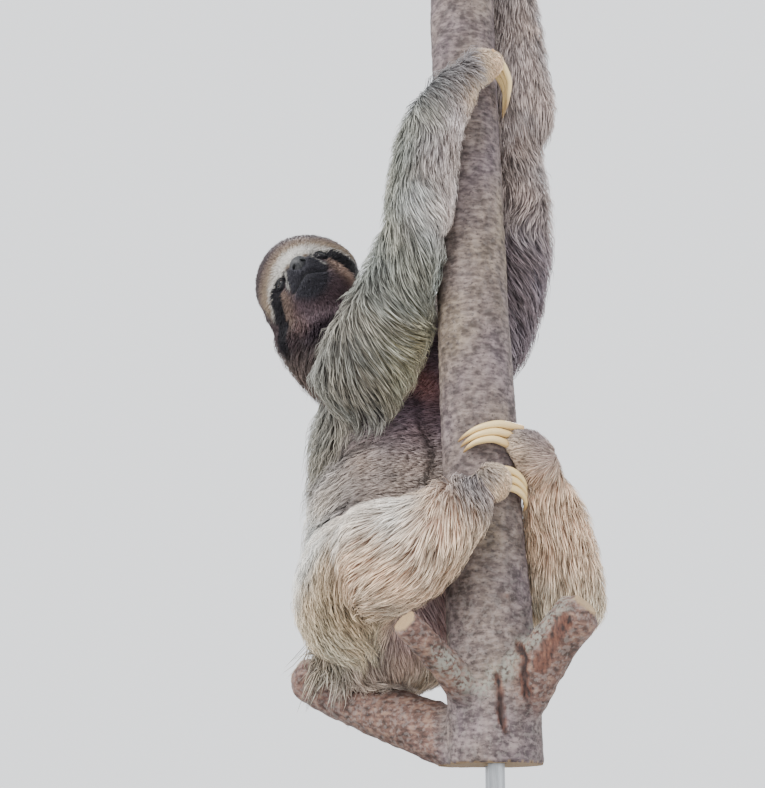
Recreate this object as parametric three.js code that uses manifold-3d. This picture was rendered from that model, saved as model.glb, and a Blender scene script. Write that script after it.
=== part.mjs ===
// A life-size three-toed sloth that clings to a cut length of forked trunk, on a plain display stand.
// Millimetres, +Z up, the origin in the middle of the stand's underside, the animal's face towards -Y.
import * as THREE from 'three';
import { mergeVertices } from 'three/addons/utils/BufferGeometryUtils.js';
import Module from 'manifold-3d';

const wasm = await Module();
wasm.setup();

// --- driving dimensions ---------------------------------------------------------------------------

const GAP = 0.35; // clearance left between pieces that touch

// stand
const BASE = { width: 400, depth: 330, height: 24, corner: 26, chamfer: 3 };
const ROD = { radius: 8, spacing: 44, socket: 70 };

// trunk and branch stubs: [x, y, z, half width, half depth]
const PERCH_FOOT = 170;
const PERCH_TOP = 1100;
const SAWN_AT = 0.75; // share of a stub's last stretch that is kept
const TRUNK = [
  [59, -35, 120, 48, 48], [59, -35, 200, 47, 47], [58, -35, 262, 44, 43], [55, -35, 340, 40, 39.5],
  [47, -35, 528, 38, 38], [41, -35, 763, 35, 35], [37, -35, 944, 33.5, 33.5], [33, -35, 1150, 32.5, 32.5],
];
const STUBS = {
  rear: { line: [[56, -32, 176], [20, -6, 196], [-32, 36, 220], [-82, 72, 240], [-150, 104, 283]],
    start: 34, end: 24 },
  front: { line: [[52, -40, 214], [30, -62, 238], [2, -92, 268], [-38, -124, 304]], start: 22, end: 14.5 },
  right: { line: [[56, -36, 190], [92, -66, 250], [121, -86, 289], [150, -104, 322]], start: 31, end: 22 },
};

// head: centre, and the directions in which it faces, its left and its crown
const HEAD = new THREE.Vector3(-127, 70, 682);
const FACES = new THREE.Vector3(-0.28, -0.91, 0.305);
const LEFTWARD = new THREE.Vector3(0.805, -0.05, 0.591);
const SKULL = { front: 46, back: 54, side: 58, crown: 63, jaw: 50 };
const EYE = { radius: 6, front: 33.8, side: 24, up: -6 };
// what stands out on the skull or is sunk in it: its place and size as shares of the skull, its rise in mm
const FACE_FORMS = [
  { side: 0, up: -0.19, wide: 0.34, tall: 0.34, rise: 15 }, // muzzle
  { side: 0, up: 0.62, wide: 0.5, tall: 0.36, rise: 4 }, // brow
  { side: 0.72, up: -0.25, wide: 0.35, tall: 0.35, rise: 3 }, // cheeks
  { side: 0.57, up: -0.13, wide: 0.2, tall: 0.2, rise: -6.5 }, // eye sockets
];

// animal, as stations along each part: [x, y, z, half width, half depth]
const TORSO = [
  [-34, 58, 231, 56, 52], [-38, 61, 258, 78, 66], [-42, 67, 318, 91, 78], [-36, 74, 394, 95, 80],
  [-31, 80, 474, 99, 78], [-28, 80, 556, 96, 73], [-12, 73, 620, 80, 61], [-2, 64, 682, 50, 42],
];
const NECK = [
  [-148, 84, 704, 40, 36], [-129, 76, 652, 50, 44], [-80, 76, 596, 58, 54], [-26, 74, 556, 60, 50],
];
const TAIL = [[-30, 96, 292, 20, 20], [-31, 124, 266, 19, 19], [-33, 146, 237, 13, 14]];

const RIGHT_ARM = {
  upper: [[-38, 54, 538, 50, 46], [-62, 32, 545, 63, 54], [-66, 10, 569, 61, 52], [-50, -15, 602, 55, 48],
    [-32, -38, 637, 47, 42], [-20, -58, 673, 42, 38], [-12, -74, 710, 39, 36], [-6, -83, 762, 31, 29]],
  fore: [[-20, -54, 668, 34, 32], [-12, -76, 712, 38, 35], [-6, -84, 759, 36, 33], [4, -90, 804, 34, 30],
    [24, -96, 836, 29, 25], [44, -98, 855, 22, 20], [62, -94, 865, 17, 15]],
  end: [[33, -98, 846, 22, 20], [47, -98, 857, 21, 18], [61, -90, 867, 16, 17], [73, -79, 874, 9, 14]],
  bend: [[-14, -73, 707], [0.2, -0.3, 0.93]],
  wrist: [[47, -98, 856], [0.9, 0.02, 0.42]],
};
const LEFT_ARM = {
  upper: [[42, 54, 556, 40, 40], [61, 48, 582, 36, 42], [79, 40, 618, 37, 42], [89, 30, 659, 38, 40],
    [98, 22, 712, 39, 40], [98, 18, 756, 37, 38], [95, 14, 800, 32, 35], [101, 8, 872, 32, 33]],
  fore: [[95, 14, 786, 30, 33], [103, 8, 858, 37, 36], [100, 8, 907, 33, 33], [95, 6, 971, 30, 30],
    [89, -2, 1020, 24, 24], [85, -20, 1037, 20, 19]],
  end: [[90, -2, 1020, 20, 18], [87, -24, 1037, 18, 18], [80, -46, 1039, 17, 14], [69, -66, 1031, 16, 9]],
  bend: [[97, 9, 836], [0.05, 0, 1]],
  wrist: [[88, -12, 1029], [-0.1, -0.75, 0.66]],
};
const RIGHT_LEG = {
  upper: [[-70, 62, 318, 60, 58], [-80, 28, 330, 68, 60], [-76, -14, 346, 66, 58], [-62, -52, 360, 60, 54],
    [-48, -92, 366, 40, 40]],
  fore: [[-98, -50, 356, 46, 44], [-66, -58, 358, 60, 54], [-24, -74, 370, 56, 46], [12, -90, 394, 42, 36],
    [38, -100, 416, 30, 27], [58, -97, 430, 22, 22]],
  end: [[34, -100, 412, 26, 24], [52, -98, 427, 21, 21], [65, -90, 434, 18, 16], [73, -82, 436, 15, 9]],
  bend: [[-60, -54, 360], [0.76, -0.6, 0.25]],
  wrist: [[50, -98, 426], [0.84, 0.1, 0.53]],
};
const LEFT_LEG = {
  upper: [[-1, 56, 320, 50, 54], [36, 54, 320, 50, 50], [81, 40, 319, 47, 46], [118, 14, 320, 43, 42],
    [141, -8, 322, 30, 30]],
  fore: [[129, 6, 288, 34, 34], [133, 0, 322, 43, 41], [127, -16, 380, 40, 37], [118, -30, 417, 35, 32],
    [109, -42, 447, 28, 26], [101, -52, 470, 20, 19]],
  end: [[111, -44, 424, 20, 19], [105, -54, 456, 25, 22], [93, -62, 471, 24, 20], [79, -71, 477, 17, 14],
    [68, -77, 478, 10, 10]],
  bend: [[128, 2, 327], [0.51, -0.49, 0.7]],
  wrist: [[108, -48, 447], [-0.35, -0.3, 0.88]],
};

// claws: the middle one's curve from its root to its point, the step to its neighbours at the root and
// at the point, and the root's half width in the hook's plane and across it
const CLAW_SETS = [
  { name: 'hand_right', root: 5.8, flat: 4.8, spread: [-2, 11.5, -1], gather: [-1, 10, 0],
    curve: [[64, -84, 872], [73, -76, 866], [80, -67, 854], [80, -60, 841], [78, -54, 827]] },
  { name: 'hand_left', root: 5.8, flat: 4.8, spread: [1, -2, -11.5], gather: [0, 0, -10],
    curve: [[72, -60, 1035], [54, -77, 1041], [32, -82, 1041], [12, -74, 1033], [1, -60, 1022]] },
  { name: 'foot_right', root: 4.4, flat: 3.9, spread: [0.5, 1, -8.9], gather: [0, 1, -6.5],
    curve: [[62, -88, 436], [76, -80, 437], [86, -70, 433], [91, -60, 426], [90, -52, 417]] },
  { name: 'foot_left', root: 4.2, flat: 3.7, spread: [-4, 0, -8.4], gather: [2.5, -0.5, -5.5],
    curve: [[79, -71, 482], [63, -81, 484], [47, -83, 481], [36, -79, 476], [28, -73, 470]] },
];
const CLAW_TAPER = 0.8; // share of its root's size that a claw has lost at its point

// colours of the plain display finish
const COAT = 0x8a7a6c;
const SHOULDER_COAT = 0x7d7668;
const LEG_COAT = 0xa08a78;
const FACE_COAT = 0xb0a184;
const PAW_COAT = 0xa89384;
const CLAW = 0xd8bc82;
const EYE_COLOUR = 0x1c1210;
const BARK = 0x7c6b68;
const BASE_COLOUR = 0x4a3a30;
const ROD_COLOUR = 0x8d9094;

// --- shapes ---------------------------------------------------------------------------------------

const vector = (xyz) => new THREE.Vector3(...xyz);
const X = vector([1, 0, 0]);
const Z = vector([0, 0, 1]);
const FAR = 3000; // larger than the whole animal
const END_CROWDING = 0.45; // how far a body's rings are drawn towards its ends
const LIMB_ROUND = [13, 13, 11]; // corners round each length of a limb
const LIMB_RINGS = [8, 9, 6];

// Merges shared vertices, so that only the places are left, and moves each one out along its normal.
function welded(geometry, grow = 0) {
  geometry.deleteAttribute('normal');
  geometry.deleteAttribute('uv');
  const merged = mergeVertices(geometry, 1e-3);
  if (grow === 0) return merged;
  merged.computeVertexNormals();
  const { position, normal } = merged.attributes;
  for (let i = 0; i < position.count; i += 1) {
    position.setXYZ(i, position.getX(i) + grow * normal.getX(i), position.getY(i) + grow * normal.getY(i),
      position.getZ(i) + grow * normal.getZ(i));
  }
  return merged;
}

function solid(geometry, grow = 0) {
  const { attributes, index } = welded(geometry.clone(), grow);
  return new wasm.Manifold(new wasm.Mesh({
    numProp: 3,
    vertProperties: Float32Array.from(attributes.position.array),
    triVerts: Uint32Array.from(index.array),
  }));
}

// A closed body round a smooth curve through its stations. Its half width is measured towards `facing`,
// and each end closes in a dome that takes the given share of the length.
function loft(stations, { facing = X, around = 18, along = 12, domes = [0.2, 0.2] } = {}) {
  const path = new THREE.CatmullRomCurve3(stations.map(([x, y, z]) => vector([x, y, z])));
  const sizes = new THREE.CatmullRomCurve3(stations.map(([, , , w, d]) => vector([w, d, 0])));
  const geometry = new THREE.SphereGeometry(1, around, along);
  const { position } = geometry.attributes;
  const point = new THREE.Vector3();
  for (let i = 0; i < position.count; i += 1) {
    point.fromBufferAttribute(position, i);
    const angle = Math.atan2(point.z, point.x);
    const polar = Math.acos(THREE.MathUtils.clamp(point.y, -1, 1)) / Math.PI;
    const share = THREE.MathUtils.lerp(polar, (1 - Math.cos(Math.PI * polar)) / 2, END_CROWDING);
    const t = path.getUtoTmapping(share);
    const tangent = path.getTangent(t);
    const across = facing.clone().addScaledVector(tangent, -facing.dot(tangent)).normalize();
    const deep = tangent.clone().cross(across);
    const start = Math.min(1, share / domes[0]);
    const end = Math.min(1, (1 - share) / domes[1]);
    const swell = Math.sqrt(1 - (1 - start) ** 2) * Math.sqrt(1 - (1 - end) ** 2);
    const size = sizes.getPoint(t).multiplyScalar(swell);
    path.getPoint(t, point);
    point.addScaledVector(across, Math.cos(angle) * size.x);
    point.addScaledVector(deep, Math.sin(angle) * size.y);
    position.setXYZ(i, point.x, point.y, point.z);
  }
  return geometry;
}

// Everything on the far side of a plane, as a box.
function beyond([at, direction], shift) {
  const normal = vector(direction).normalize();
  const geometry = new THREE.BoxGeometry(FAR, FAR, FAR);
  geometry.translate(0, 0, FAR / 2 + shift);
  geometry.applyQuaternion(new THREE.Quaternion().setFromUnitVectors(Z, normal));
  geometry.translate(...at);
  return solid(geometry);
}

function join(solids) {
  return solids.reduce((whole, next) => whole.add(next));
}

function cut(whole, cutters) {
  return cutters.reduce((rest, next) => rest.subtract(next), whole);
}

const group = new THREE.Group();

function piece(name, shape, color, roughness = 0.9, metalness = 0) {
  const { vertProperties, triVerts } = shape.getMesh();
  const geometry = new THREE.BufferGeometry();
  geometry.setAttribute('position', new THREE.BufferAttribute(vertProperties, 3));
  geometry.setIndex(new THREE.BufferAttribute(triVerts, 1));
  geometry.computeVertexNormals();
  const mesh = new THREE.Mesh(geometry, new THREE.MeshStandardMaterial({ color, roughness, metalness }));
  mesh.name = name;
  group.add(mesh);
}

// --- stand ----------------------------------------------------------------------------------------

// The base is a plate with round corners and a small chamfer round both faces.
function baseGeometry() {
  const { width, depth, height, corner, chamfer } = BASE;
  const [w, d, r] = [width / 2 - chamfer, depth / 2 - chamfer, corner - chamfer];
  const outline = new THREE.Shape();
  outline.absarc(w - r, d - r, r, 0, Math.PI / 2);
  outline.absarc(-w + r, d - r, r, Math.PI / 2, Math.PI);
  outline.absarc(-w + r, -d + r, r, Math.PI, 1.5 * Math.PI);
  outline.absarc(w - r, -d + r, r, 1.5 * Math.PI, 2 * Math.PI);
  const geometry = new THREE.ExtrudeGeometry(outline, {
    depth: height - 2 * chamfer, bevelSize: chamfer, bevelThickness: chamfer, bevelSegments: 1,
    curveSegments: 3,
  });
  geometry.translate(0, 0, chamfer);
  return geometry;
}

// Each rod stands in a hole in the base and in one in the trunk's foot.
function rodGeometry(side, grow) {
  const bottom = BASE.height / 2 - grow;
  const top = PERCH_FOOT + ROD.socket + grow;
  const geometry = new THREE.CylinderGeometry(ROD.radius + grow, ROD.radius + grow, top - bottom, 12);
  geometry.rotateX(Math.PI / 2);
  geometry.translate(TRUNK[0][0], TRUNK[0][1] + side * ROD.spacing / 2, (top + bottom) / 2);
  return geometry;
}

const rodHoles = [-1, 1].map((side) => solid(rodGeometry(side, GAP)));
piece('stand_base', cut(solid(baseGeometry()), rodHoles), BASE_COLOUR, 0.55);
piece('stand_rod_front', solid(rodGeometry(-1, 0)), ROD_COLOUR, 0.35, 1);
piece('stand_rod_back', solid(rodGeometry(1, 0)), ROD_COLOUR, 0.35, 1);

// --- perch ----------------------------------------------------------------------------------------

// The trunk and its three stubs are one piece of wood, cut level at the foot and the top.
function stubGeometry({ line, start, end }) {
  const stations = line.map((at, i) => {
    const size = THREE.MathUtils.lerp(start, end, Math.min(1, i / (line.length - 2)));
    return [...at, size, size];
  });
  return loft(stations, { facing: Z, around: 12, along: 6, domes: [0.1, 0.02] });
}

// Each stub is sawn off square to its own run.
function sawnStub(stub) {
  const [last, tip] = stub.line.slice(-2).map(vector);
  const run = tip.clone().sub(last);
  const face = beyond([last.addScaledVector(run, SAWN_AT).toArray(), run.toArray()], 0);
  return solid(stubGeometry(stub)).subtract(face);
}

const trunkGeometry = loft(TRUNK, { around: 16, along: 14, domes: [0.01, 0.01] });
const stubs = Object.values(STUBS);
const below = beyond([[0, 0, PERCH_FOOT], [0, 0, -1]], 0);
const above = beyond([[0, 0, PERCH_TOP], [0, 0, 1]], 0);
const perch = cut(join([solid(trunkGeometry), ...stubs.map(sawnStub)]), [below, above, ...rodHoles]);
piece('perch', perch, BARK, 0.85);
const perchSpace = join([trunkGeometry, ...stubs.map(stubGeometry)].map((shape) => solid(shape, GAP)));

// --- torso, head, neck and tail -------------------------------------------------------------------

const torsoGeometry = loft(TORSO, { around: 20, along: 15, domes: [0.12, 0.16] });
const torsoSpace = solid(torsoGeometry, GAP);

const crownward = FACES.clone().cross(LEFTWARD);
const inHead = (front, side, up) => HEAD.clone().addScaledVector(FACES, front)
  .addScaledVector(LEFTWARD, side).addScaledVector(crownward, up);

// The head is a round skull with a flat face, a short blunt muzzle, full cheeks and a low brow.
function headGeometry() {
  const geometry = new THREE.SphereGeometry(1, 26, 21);
  const { position } = geometry.attributes;
  for (let i = 0; i < position.count; i += 1) {
    // the sphere's pole is the nose, so that the mesh is finest round the face
    const [side, front, up] = [-position.getX(i), position.getY(i), position.getZ(i)];
    const long = front > 0 ? SKULL.front : SKULL.back;
    const tall = up > 0 ? SKULL.crown : SKULL.jaw;
    let reach = 1 / Math.hypot(front / long, side / SKULL.side, up / tall);
    if (front > 0) {
      for (const form of FACE_FORMS) {
        const aside = (Math.abs(side) - form.side) / form.wide;
        const above = (up - form.up) / form.tall;
        reach += form.rise * Math.exp(-(aside ** 2) - above ** 2);
      }
    }
    const at = inHead(front * reach, side * reach, up * reach);
    position.setXYZ(i, at.x, at.y, at.z);
  }
  return geometry;
}

function eyeGeometry(side) {
  const geometry = new THREE.SphereGeometry(EYE.radius, 10, 6);
  geometry.translate(...inHead(EYE.front, side * EYE.side, EYE.up).toArray());
  return geometry;
}

const headShape = headGeometry();
const headSpace = solid(headShape, GAP);
const neckShape = loft(NECK, { around: 16, along: 8, domes: [0.15, 0.15] });
const neckSpace = solid(neckShape, GAP);

piece('torso', cut(solid(torsoGeometry), [headSpace, perchSpace]), COAT);
piece('head', cut(solid(headShape), [-1, 1].map((side) => solid(eyeGeometry(side), GAP))), FACE_COAT);
piece('eye_right', solid(eyeGeometry(-1)), EYE_COLOUR, 0.1);
piece('eye_left', solid(eyeGeometry(1)), EYE_COLOUR, 0.1);
piece('neck', cut(solid(neckShape), [headSpace, torsoSpace, perchSpace]), COAT);
piece('tail', cut(solid(loft(TAIL, { around: 12, along: 8, domes: [0.3, 0.35] })), [torsoSpace]), COAT);

// --- limbs ----------------------------------------------------------------------------------------

// A limb is three lengths run together, then parted by two thin cuts, at elbow or knee and at wrist or
// ankle, and cleared where it presses on the trunk and the body.
function limb(names, colours, part, facings, spaces) {
  const lengths = [part.upper, part.fore, part.end].map((stations, i) => loft(stations, {
    facing: facings[i], around: LIMB_ROUND[i], along: LIMB_RINGS[i], domes: [0.18, 0.18],
  }));
  const whole = cut(join(lengths.map((shape) => solid(shape))), spaces);
  const pastBend = beyond(part.bend, GAP / 2);
  const pastWrist = beyond(part.wrist, GAP / 2);
  const toBend = cut(whole, [beyond(part.bend, -GAP / 2)]);
  const fromBend = whole.intersect(pastBend);
  piece(names[0], toBend, colours[0]);
  piece(names[1], cut(fromBend, [beyond(part.wrist, -GAP / 2)]), colours[1]);
  piece(names[2], fromBend.intersect(pastWrist), colours[2]);
  return join(lengths.map((shape) => solid(shape, GAP)));
}

const armSpaces = [torsoSpace, neckSpace, headSpace, perchSpace];
const legSpaces = [torsoSpace, perchSpace];
const armColours = [SHOULDER_COAT, SHOULDER_COAT, PAW_COAT];
const legColours = [LEG_COAT, LEG_COAT, PAW_COAT];
const limbSpaces = {
  hand_right: limb(['upper_arm_right', 'forearm_right', 'hand_right'], armColours, RIGHT_ARM,
    [X, X, Z], armSpaces),
  hand_left: limb(['upper_arm_left', 'forearm_left', 'hand_left'], armColours, LEFT_ARM,
    [X, X, Z], armSpaces),
  foot_right: limb(['thigh_right', 'shank_right', 'foot_right'], legColours, RIGHT_LEG,
    [Z, Z, Z], legSpaces),
  foot_left: limb(['thigh_left', 'shank_left', 'foot_left'], legColours, LEFT_LEG,
    [Z, X, X], legSpaces),
};

// --- claws ----------------------------------------------------------------------------------------

// Each claw is a long hook, deeper than it is wide, that narrows to a blunt point.
function clawGeometry({ curve, spread, gather, root, flat }, place) {
  const stations = curve.map((at, i) => {
    const run = i / (curve.length - 1);
    const step = vector(spread).lerp(vector(gather), run);
    const left = 1 - CLAW_TAPER * run ** 2;
    return [...vector(at).addScaledVector(step, place).toArray(), root * left, flat * left];
  });
  const facing = vector(curve.at(2)).multiplyScalar(2).sub(vector(curve[0])).sub(vector(curve.at(-1)));
  return loft(stations, { facing: facing.normalize(), around: 6, along: 6, domes: [0.1, 0.12] });
}

for (const set of CLAW_SETS) {
  for (const place of [-1, 0, 1]) {
    const claw = cut(solid(clawGeometry(set, place)), [limbSpaces[set.name], perchSpace]);
    piece(`claw_${set.name}_${place + 2}`, claw, CLAW, 0.35);
  }
}

export default group;
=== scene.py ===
import math

import bpy
import numpy as np
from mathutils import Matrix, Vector, kdtree, noise
from mathutils.bvhtree import BVHTree


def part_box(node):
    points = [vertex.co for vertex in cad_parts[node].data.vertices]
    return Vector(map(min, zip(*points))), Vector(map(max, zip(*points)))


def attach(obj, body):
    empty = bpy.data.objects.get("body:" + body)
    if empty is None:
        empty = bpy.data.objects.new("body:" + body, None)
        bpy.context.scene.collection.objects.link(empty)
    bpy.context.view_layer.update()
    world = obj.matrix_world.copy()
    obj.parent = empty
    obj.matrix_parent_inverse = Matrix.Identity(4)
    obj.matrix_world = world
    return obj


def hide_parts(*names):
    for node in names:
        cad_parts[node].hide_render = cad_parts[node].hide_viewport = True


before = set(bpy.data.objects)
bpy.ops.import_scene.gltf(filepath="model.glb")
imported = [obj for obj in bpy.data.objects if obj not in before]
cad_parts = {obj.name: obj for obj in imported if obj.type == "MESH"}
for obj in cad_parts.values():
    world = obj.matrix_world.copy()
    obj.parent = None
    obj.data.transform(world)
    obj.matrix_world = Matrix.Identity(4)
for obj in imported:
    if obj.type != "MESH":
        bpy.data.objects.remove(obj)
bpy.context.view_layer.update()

# Studio: a plain pale floor and sky, a big soft lamp high on the left, a wide one that fills from the
# right and one behind that edges the coat, all far off. The camera stands near the floor and looks up.
MM = 0.001
CAMERA_AT = (-0.0475, -1.7737, 0.0681)
CAMERA_LOOKS_UP = 15  # degrees
bpy.ops.object.select_all(action="DESELECT")
bpy.ops.object.camera_add(location=CAMERA_AT, rotation=(math.radians(90 + CAMERA_LOOKS_UP), 0, 0))
camera = bpy.context.object
camera.data.sensor_width = 36
camera.data.lens = 82.23
camera.data.clip_end = 60
bpy.context.scene.camera = camera

LAMPS = {  # the way each one shines, how soft it is in degrees, its strength and its colour
    "key": ((0.52, 0.62, -0.59), 30, 4.0, (1.0, 0.985, 0.96)),
    "fill": ((-0.75, 0.62, 0.1), 70, 1.2, (0.97, 0.985, 1.0)),
    "edge": ((-0.1, -0.72, -0.69), 25, 2.2, (1.0, 1.0, 1.0)),
}
for name, (way, softness, strength, colour) in LAMPS.items():
    bpy.ops.object.light_add(type="SUN")
    lamp = bpy.context.object
    lamp.name = name
    lamp.data.angle = math.radians(softness)
    lamp.data.energy = strength
    lamp.data.color = colour
    lamp.rotation_euler = Vector(way).to_track_quat("-Z", "Y").to_euler()

sky = bpy.data.worlds.new("pale_sky")
sky.use_nodes = True
sky.node_tree.nodes["Background"].inputs["Color"].default_value = (0.95, 0.97, 1.0, 1)
sky.node_tree.nodes["Background"].inputs["Strength"].default_value = 1.7
bpy.context.scene.world = sky


def linear(colour):
    """The linear red, green and blue of a colour written as 0xRRGGBB."""
    parts = np.array([(colour >> 16) & 255, (colour >> 8) & 255, colour & 255]) / 255
    return np.where(parts < 0.04045, parts / 12.92, ((parts + 0.055) / 1.055) ** 2.4)


def solid(colour):
    """A colour written as 0xRRGGBB, as a colour socket takes it."""
    return (*linear(colour), 1)


def finish(name, roughness, **sockets):
    """A new material with these values on its shader's own sockets, as (material, tree, shader)."""
    made = bpy.data.materials.new(name)
    made.use_nodes = True
    shader = made.node_tree.nodes["Principled BSDF"]
    shader.inputs["Roughness"].default_value = roughness
    for socket, value in sockets.items():
        shader.inputs[socket.replace("_", " ")].default_value = value
    return made, made.node_tree, shader


def pattern(tree, size, stretch=(1, 1, 1), detail=4, kind="ShaderNodeTexNoise", output="Fac"):
    """A pattern on the piece's own place, with features about `size` mm across."""
    place = tree.nodes.new("ShaderNodeTexCoord")
    scale = tree.nodes.new("ShaderNodeMapping")
    scale.inputs["Scale"].default_value = [1000 / size / s for s in stretch]
    texture = tree.nodes.new(kind)
    texture.inputs["Scale"].default_value = 1
    texture.inputs["Detail"].default_value = detail
    tree.links.new(place.outputs["Object"], scale.inputs["Vector"])
    tree.links.new(scale.outputs["Vector"], texture.inputs["Vector"])
    return texture.outputs[output]


def ramp(tree, value, *stops):
    """Colours along a value: each stop is (position, 0xRRGGBB)."""
    made = tree.nodes.new("ShaderNodeValToRGB")
    while len(made.color_ramp.elements) < len(stops):
        made.color_ramp.elements.new(0.5)
    for element, (position, colour) in zip(made.color_ramp.elements, stops):
        element.position = position
        element.color = solid(colour)
    tree.links.new(value, made.inputs["Fac"])
    return made.outputs["Color"]


def mixed(tree, share, first, second, blend="MIX"):
    """The first colour with a share of the second. The share is a number or a socket."""
    made = tree.nodes.new("ShaderNodeMix")
    made.data_type = "RGBA"
    made.blend_type = blend
    for socket, value in (("Factor", share), ("A", first), ("B", second)):
        ends = [i for i in made.inputs if i.name == socket and i.enabled]
        if isinstance(value, bpy.types.NodeSocket):
            tree.links.new(value, ends[0])
        else:
            ends[0].default_value = value
    return [o for o in made.outputs if o.enabled][0]


def coloured(tree, shader, colour):
    """Gives the shader its colour from a socket."""
    tree.links.new(colour, shader.inputs["Base Color"])


def bumped(tree, shader, height, depth, strength=0.6):
    """Gives the shader a bump of that depth in mm."""
    made = tree.nodes.new("ShaderNodeBump")
    made.inputs["Strength"].default_value = strength
    made.inputs["Distance"].default_value = depth * MM
    tree.links.new(height, made.inputs["Height"])
    tree.links.new(made.outputs["Normal"], shader.inputs["Normal"])


bpy.ops.mesh.primitive_plane_add(size=60)
floor = bpy.context.object
floor.name = "studio_floor"
floor_finish, tree, shader = finish("pale_floor", 0.85)
coloured(tree, shader, ramp(tree, pattern(tree, 300), (0.3, 0xD2D1CE), (0.7, 0xD8D7D4)))
floor.data.materials.append(floor_finish)

# Display base: a turned-edge board of dark stained hardwood, rounded at its corners, that the two
# rods are let into. It is sanded, stained and given a satin varnish.
BASE_CORNER, BASE_EDGE = 26, 3.2
CRISP = math.radians(35)  # an edge that turns more than this stays sharp


def corners_of(node):
    """The low and the high corner of a part's box, in metres."""
    return [np.array(corner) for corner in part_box(node)]


def alone(piece):
    """Makes the piece the active one, with nothing else selected."""
    bpy.ops.object.select_all(action="DESELECT")
    piece.select_set(True)
    bpy.context.view_layer.objects.active = piece


def kept_in_place():
    """Moves the new piece's place, turn and size into its mesh."""
    bpy.ops.object.transform_apply(location=True, rotation=True, scale=True)
    return bpy.context.object


def edited(step, **settings):
    """Takes one step in edit mode, on what is picked of the active piece."""
    bpy.ops.object.mode_set(mode="EDIT")
    step(**settings)
    bpy.ops.object.mode_set(mode="OBJECT")


def none_picked(kind):
    """Makes edges or faces what is picked, with none of them picked yet."""
    edited(bpy.ops.mesh.select_mode, type=kind)
    edited(bpy.ops.mesh.select_all, action="DESELECT")


def rounded(piece, keep, radius, steps):
    """Rounds only the edges whose two ends pass the test."""
    none_picked("EDGE")
    corners = piece.data.vertices
    for edge in piece.data.edges:
        a, b = (corners[i].co for i in edge.vertices)
        edge.select = bool(keep(a, b))
    edited(bpy.ops.mesh.bevel, offset=radius * MM, segments=steps, affect="EDGES")


low, high = corners_of("stand_base")
board_top = high[2]
bpy.ops.object.select_all(action="DESELECT")
bpy.ops.mesh.primitive_cube_add(size=1, location=(low + high) / 2)
base = bpy.context.object
base.name = "display_base"
base.scale = high - low
kept_in_place()
rounded(base, lambda a, b: abs(a.z - b.z) > 0.01, BASE_CORNER, 10)
rounded(base, lambda a, b: min(a.z, b.z) > board_top - 1e-4, BASE_EDGE, 4)
bpy.ops.object.shade_smooth_by_angle(angle=CRISP)

wood, tree, shader = finish("stained_hardwood", 0.36, Coat_Weight=0.25, Coat_Roughness=0.22)
grain = pattern(tree, 5, (22, 1, 1), 6)
pores = pattern(tree, 1.1, (26, 1, 1), 3)
tone = ramp(tree, grain, (0.3, 0x2B1C14), (0.5, 0x3D291D), (0.62, 0x4B3424), (0.75, 0x3A261B))
dark = ramp(tree, pores, (0.36, 0x6E5A4E), (0.46, 0xFFFFFF))
coloured(tree, shader, mixed(tree, 1.0, tone, dark, "MULTIPLY"))
bumped(tree, shader, pores, 0.12, 0.35)
base.data.materials.append(wood)
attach(base, "root")
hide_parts("stand_base")

# Two rods of brushed steel, turned from bar, with a collar where each meets the board. They stand in
# the board and are let into the foot of the trunk.
COLLAR_WIDER, COLLAR_HEIGHT, COLLAR_EDGE = 4.5, 5, 1.2
steel, tree, shader = finish("brushed_steel", 0.3, Metallic=1.0)
brushing = pattern(tree, 0.35, (1, 1, 30), 3)
coloured(tree, shader, ramp(tree, brushing, (0.3, 0x8F9296), (0.7, 0xA9ACAF)))
bumped(tree, shader, brushing, 0.03, 0.3)
for node in ("stand_rod_front", "stand_rod_back"):
    low, high = corners_of(node)
    middle = (low + high) / 2
    radius = (high[0] - low[0]) / 2
    bpy.ops.object.select_all(action="DESELECT")
    bpy.ops.mesh.primitive_cylinder_add(vertices=48, radius=radius, depth=high[2] - low[2], location=middle)
    rod = kept_in_place()
    bpy.ops.mesh.primitive_cylinder_add(vertices=48, radius=radius + COLLAR_WIDER * MM,
                                        depth=COLLAR_HEIGHT * MM,
                                        location=(*middle[:2], board_top + COLLAR_HEIGHT / 2 * MM))
    collar = kept_in_place()
    rounded(collar, lambda a, b: min(a.z, b.z) > board_top + 0.004, COLLAR_EDGE, 4)
    rod.select_set(True)
    bpy.context.view_layer.objects.active = rod
    bpy.ops.object.join()
    rod = bpy.context.object
    rod.name = "display_" + node[len("stand_"):]
    bpy.ops.object.shade_smooth_by_angle(angle=CRISP)
    rod.data.materials.append(steel)
    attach(rod, "root")
    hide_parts(node)

# Perch: a cut length of a young tree's forked trunk, dried with its bark on and sawn square at its
# foot, its top and its three branch stubs. The bark is thin, ringed above and scabbed near the fork.
PERCH_VOXEL = 2.6
SAWN_ENDS = {  # where each stub is sawn and the way its cut faces
    "rear": ((-133, 96, 272), (-0.795, 0.374, 0.503)),
    "front": ((-28, -116, 295), (-0.665, -0.532, 0.598)),
    "right": ((142.75, -99.5, 313.75), (0.6, -0.372, 0.682)),
}
TRUNK_FOOT = np.array((59, -35, 170))
TRUNK_HEAD = np.array((34, -35, 1100))
SPLITS = (  # where the bark is torn below the right stub, as lines (right, up) on its front, and how wide
    (((80, 280), (85, 262), (83, 250), (86, 229)), 3.4),
    (((60, 250), (63, 232), (62, 216), (66, 198)), 3.0),
    (((99, 258), (112, 280), (121, 297)), 7.0),
)
SPLIT_UP_TO = 5  # a narrower tear is split down its middle as well
KNOT_EVERY = 64
BARK_THICK = 1.7
STUB_REACH = 60  # no sawn end reaches further than this from its pith
CROTCHES = (((6, 266), (26, 248), (42, 238)), ((56, 246), (80, 268), (100, 292), (120, 316)))  # of the fork


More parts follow.
